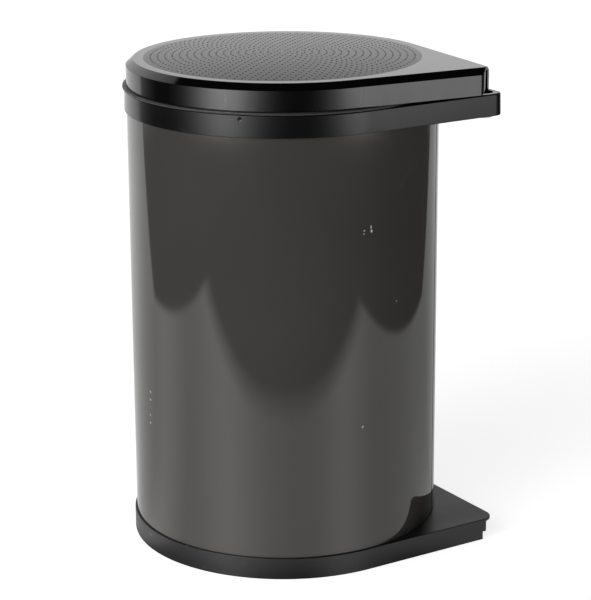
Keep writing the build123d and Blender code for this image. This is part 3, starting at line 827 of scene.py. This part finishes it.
# Lid's cross pin. Zinc-plated steel pin through two lugs under the lid's corner, kept there by a
# push-on clip at each end. The bracket's lifting arm takes hold of it through the slot.
pin_at, pin_z = lid_cut_at - 17.0, lid_top - 11.3
pin_r, pin_half, clip_r, clip_half, clip_middle = 2.0, 12.1, 4.2, 0.4, 10.1
pin = turned([(0, -pin_half), (pin_r, -pin_half), (pin_r, pin_half), (0, pin_half)], 32,
             [(pin_r, -pin_half, 0.4, 2), (pin_r, pin_half, 0.4, 2)])
pin.name = "lid_pin"
clips = []
for side in (-1, 1):
    low, high = side * clip_middle - clip_half, side * clip_middle + clip_half
    clips.append(turned([(pin_r, low), (clip_r, low), (clip_r, high), (pin_r, high)], 32,
                        [(clip_r, side * (clip_middle + clip_half), 0.3, 2)]))
done()
bpy.context.view_layer.objects.active = clips[0]
for clip in clips:
    clip.select_set(True)
bpy.ops.object.join()
clips[0].name = "lid_clips"
for piece in (pin, clips[0]):
    piece.rotation_euler = (math.pi / 2, 0, 0)
    piece.location = (pin_at * MM, 0, pin_z * MM)
    settle(piece)
    turn(piece, lid_turn - 45)
    smooth(piece)
dress(pin, zinc, "lid", "zinc_steel", "lid_hinge_pin")
dress(clips[0], zinc, "lid", "zinc_steel", "lid_pin_clips")

# Studio. A pale floor that looks white to the camera and keeps the bin's soft shadow, a white backdrop
# behind the bin under a dark ceiling, and two soft lights, a tall one to the left of the camera and a low
# one to the right.
done()
bpy.ops.mesh.primitive_plane_add(size=14, location=(0, 0, 0))
floor = bpy.context.object
floor.name = "studio_floor"
floor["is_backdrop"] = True
camera_turn = 31.83


def headed(tree, vector):
    """A place or direction turned so that the camera looks along +Y, and its heading in degrees."""
    swing = tree.nodes.new("ShaderNodeMapping")
    swing.inputs["Rotation"].default_value = (0, 0, math.radians(camera_turn))
    tree.links.new(vector, swing.inputs["Vector"])
    split = tree.nodes.new("ShaderNodeSeparateXYZ")
    tree.links.new(swing.outputs["Vector"], split.inputs["Vector"])
    heading = arithmetic(tree, "ARCTAN2", split.outputs["Y"], split.outputs["X"])
    return split.outputs, arithmetic(tree, "DEGREES", heading)


def by_heading(tree, heading, levels):
    """A level of up to 2 that changes with the heading, from a few headings in degrees and their levels."""
    ramp = tree.nodes.new("ShaderNodeValToRGB")
    stops = ramp.color_ramp.elements
    stops.remove(stops[1])
    for index, (angle, level) in enumerate(levels):
        position = angle / 360 + 0.5
        stop = stops[0] if index == 0 else stops.new(position)
        stop.position = position
        stop.color = (level / 2, level / 2, level / 2, 1)
    tree.links.new(arithmetic(tree, "MULTIPLY_ADD", heading, 1 / 360, 0.5), ramp.inputs["Fac"])
    return arithmetic(tree, "MULTIPLY", ramp.outputs["Color"], 2.0)


def product(tree, first, *others):
    """Multiply numbers or other nodes' outputs."""
    for other in others:
        first = arithmetic(tree, "MULTIPLY", first, other)
    return first


def total(tree, first, *others):
    """Add numbers or other nodes' outputs."""
    for other in others:
        first = arithmetic(tree, "ADD", first, other)
    return first


def swell(tree, heading, middle, width):
    """A level that is 1 at one heading and falls off softly on both sides."""
    away = arithmetic(tree, "DIVIDE", arithmetic(tree, "SUBTRACT", heading, middle), width)
    return arithmetic(tree, "EXPONENT", product(tree, product(tree, away, away), -0.5))


def excess(tree, value, start):
    """How far a value is past a start, and 0 before it."""
    return arithmetic(tree, "MAXIMUM", arithmetic(tree, "SUBTRACT", value, start), 0.0)


def seen_directly(tree):
    """The Light Path node, and 1 for rays from the camera, also through something clear."""
    path = tree.nodes.new("ShaderNodeLightPath")
    direct = arithmetic(tree, "MAXIMUM", path.outputs["Is Camera Ray"], path.outputs["Is Transmission Ray"])
    return path, direct


floor_finish, tree, shader, place = finish("studio_floor")
shader.inputs["Base Color"].default_value = (0.8, 0.8, 0.8, 1)
shader.inputs["Roughness"].default_value = 0.9
shader.inputs["Specular IOR Level"].default_value = 0.0
floor.data.materials.append(floor_finish)
path, to_eye = seen_directly(tree)
glow = tree.nodes.new("ShaderNodeEmission")
tree.links.new(span(tree, to_eye, 0, 1, 0.45, 0.8), glow.inputs["Strength"])
lit = tree.nodes.new("ShaderNodeAddShader")
tree.links.new(shader.outputs["BSDF"], lit.inputs[0])
tree.links.new(glow.outputs["Emission"], lit.inputs[1])

# The white sheet under the bin ends at an outline that its reflection in the body shows. Past it a glossy
# surface sees the dark room and the feet of the two lights. On the sheet, glossy rays see painted light: a
# painted sheen that changes with heading, painted highlights of the two lights and a painted shadow near the
# bin.
(across, ahead, _), _ = headed(tree, place)
front_edge = arithmetic(tree, "MULTIPLY_ADD", arithmetic(tree, "MAXIMUM", across, 0.0), 0.05, -0.545)
front = span(tree, arithmetic(tree, "SUBTRACT", ahead, front_edge), -0.045, 0.06, 0, 1)
left_edge = arithmetic(tree, "MULTIPLY_ADD", excess(tree, ahead, 0.22), 1.04, across)
left = span(tree, left_edge, -0.81, -0.77, 0, 1)
right_edge = arithmetic(tree, "MULTIPLY_ADD", excess(tree, ahead, 0.37), -0.65, across)
right = span(tree, right_edge, 0.69, 0.72, 1, 0)
on_sheet = product(tree, front, left, right)
heading = arithmetic(tree, "DEGREES", arithmetic(tree, "ARCTAN2", total(tree, ahead, 0.07), across))
# Painted sheen: the mirrored sheet's brightness changes with heading.
sheet_and_painted_sheen = by_heading(tree, heading, [
    (-180, 1.2), (-168, 0.92), (-150, 1.0), (-110, 1.0), (-85, 0.78), (0, 0.8), (20, 0.7), (36, 0.47),
    (50, 0.51), (60, 0.54), (75, 0.62), (115, 0.78), (127, 0.88), (135, 0.9), (142, 0.84), (150, 0.8),
    (160, 0.8), (172, 1.2)])
# Painted shadow: the mirrored sheet is darker close to the bin.
from_bin = arithmetic(tree, "SQRT", total(tree, product(tree, across, across), product(tree, ahead, ahead)))
painted_bin_shadow = arithmetic(tree, "MAXIMUM", span(tree, from_bin, 0.135, 0.172, 0.25, 1),
                      span(tree, across, -0.135, -0.105, 1, 0))
sheet_and_painted_sheen = product(tree, sheet_and_painted_sheen, painted_bin_shadow, span(tree, from_bin, 0.5, 1.3, 1, 1.3))
# Painted highlights: the two lights' glare on the sheet, by heading.
painted_glare_left = product(tree, swell(tree, heading, -134, 13), 0.72)
painted_glare_right = product(tree, swell(tree, heading, -45, 12), 0.6)
sheet_and_painted_sheen = total(tree, sheet_and_painted_sheen, total(tree, painted_glare_left, painted_glare_right))
mirrored = tree.nodes.new("ShaderNodeEmission")
tree.links.new(sheet_and_painted_sheen, mirrored.inputs["Strength"])
past = tree.nodes.new("ShaderNodeBsdfTransparent")
for_gloss = tree.nodes.new("ShaderNodeMixShader")
tree.links.new(on_sheet, for_gloss.inputs["Fac"])
tree.links.new(past.outputs["BSDF"], for_gloss.inputs[1])
tree.links.new(mirrored.outputs["Emission"], for_gloss.inputs[2])
choose = tree.nodes.new("ShaderNodeMixShader")
tree.links.new(path.outputs["Is Glossy Ray"], choose.inputs["Fac"])
tree.links.new(lit.outputs["Shader"], choose.inputs[1])
tree.links.new(for_gloss.outputs["Shader"], choose.inputs[2])
tree.links.new(choose.outputs["Shader"], tree.nodes["Material Output"].inputs["Surface"])

# The room round the bin, by heading and by slope: the backdrop ahead, which is dimmer at its foot and above,
# and the two lights behind the camera. The camera itself sees plain white.
world = bpy.data.worlds.new("studio")
bpy.context.scene.world = world
world.use_nodes = True
tree = world.node_tree
room = tree.nodes["Background"]
(_, _, up), heading = headed(tree, tree.nodes.new("ShaderNodeTexCoord").outputs["Generated"])
slope = arithmetic(tree, "DEGREES", arithmetic(tree, "ARCSINE", up))
backdrop = by_heading(tree, heading, [
    (-180, 0.0), (41, 0.0), (52, 0.57), (70, 0.57), (82, 0.98), (98, 0.98), (104, 0.8), (112, 0.8),
    (127, 0.95), (138, 0.75), (147, 0.47), (155, 0.2), (165, 0.0)])
sheet_slope = -12.1
past_sheet = span(tree, slope, -12.3, -11.7, 0.25, 1)
foot_shade = span(tree, slope, -12, 6, 0.6, 1)
upper_part = arithmetic(tree, "MAXIMUM", span(tree, slope, 15, 21, 1, 0.42),
                        span(tree, heading, 100, 112, 0, 1.1))
ceiling_edge = span(tree, slope, 45.5, 47.5, 1, 0)
light = product(tree, backdrop, past_sheet, foot_shade, upper_part, ceiling_edge)
for middle, width, strength, high in ((-132.3, 15, 4.85, 42), (-33.5, 13, 3.3, 4)):
    beam = product(tree, swell(tree, heading, middle, width), strength)
    beam = product(tree, beam, span(tree, slope, sheet_slope, sheet_slope + 0.4, 0, 1),
                   span(tree, slope, high - 5, high + 5, 1, 0))
    light = total(tree, light, beam)
light = total(tree, light, span(tree, slope, -2, 40, 0.04, 0.015))
_, to_eye = seen_directly(tree)
level = tree.nodes.new("ShaderNodeMix")
level.inputs[3].default_value = 1.0
tree.links.new(to_eye, level.inputs["Factor"])
tree.links.new(light, level.inputs[2])
tree.links.new(level.outputs[0], room.inputs["Strength"])
room.inputs["Color"].default_value = (1, 1, 1, 1)

# Camera, where the photograph was taken from.
view = bpy.data.cameras.new("photo_view")
view.lens = 128.925
view.sensor_width = 36
view.sensor_fit = "AUTO"
camera = bpy.data.objects.new("photo_view", view)
bpy.context.scene.collection.objects.link(camera)
camera.location = (-0.894897, -1.441442, 0.694369)
camera.rotation_euler = (1.283744, 0.004620, -0.562476)
bpy.context.scene.camera = camera

bpy.context.scene.view_settings.view_transform = "Standard"
low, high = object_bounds()
